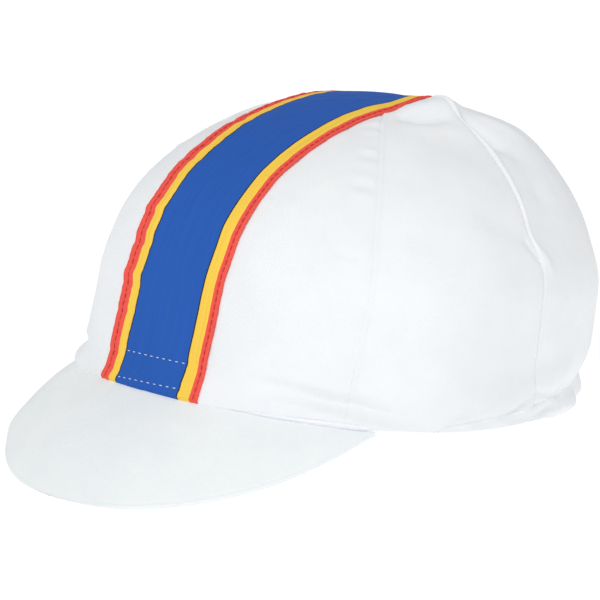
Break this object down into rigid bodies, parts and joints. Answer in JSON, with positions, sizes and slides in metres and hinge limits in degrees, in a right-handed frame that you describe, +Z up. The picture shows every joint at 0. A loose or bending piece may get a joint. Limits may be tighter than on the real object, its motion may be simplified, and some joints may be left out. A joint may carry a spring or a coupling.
{
  "type": "cycling cap",
  "caption": "Soft white cotton cycling cap with a domed crown of sewn gores, a striped ribbon from front to back over the top, a short curved peak and an elastic rear hem.",
  "frame": {"origin": "on the floor plane under the middle of the cap's bounding box, with the cap resting on its peak's lower front edge and the back of its rim", "axes": "+Z up from the floor through the crown, -Y towards the peak (the cap's front), +X towards the wearer's left"},
  "size_m": [0.182, 0.239, 0.1193],
  "materials": {
    "white_cotton": "matte plain-weave cotton, bleached white",
    "peak_cotton": "matte plain-weave cotton stretched over a stiff sheet, cool white",
    "striped_ribbon": "woven polyester ribbon with a slight sheen: red, yellow, broad blue, yellow, red",
    "band_twill": "matte cotton twill tape, white"
  },
  "bodies": {
    "root": {"front_left_panel": "white_cotton", "front_right_panel": "white_cotton", "side_left_panel": "white_cotton", "side_right_panel": "white_cotton", "rear_left_panel": "white_cotton", "rear_right_panel": "white_cotton", "stripe_ribbon": "striped_ribbon", "peak": "peak_cotton", "sweatband": "band_twill", "rear_casing": "white_cotton"}
  },
  "joints": []
}
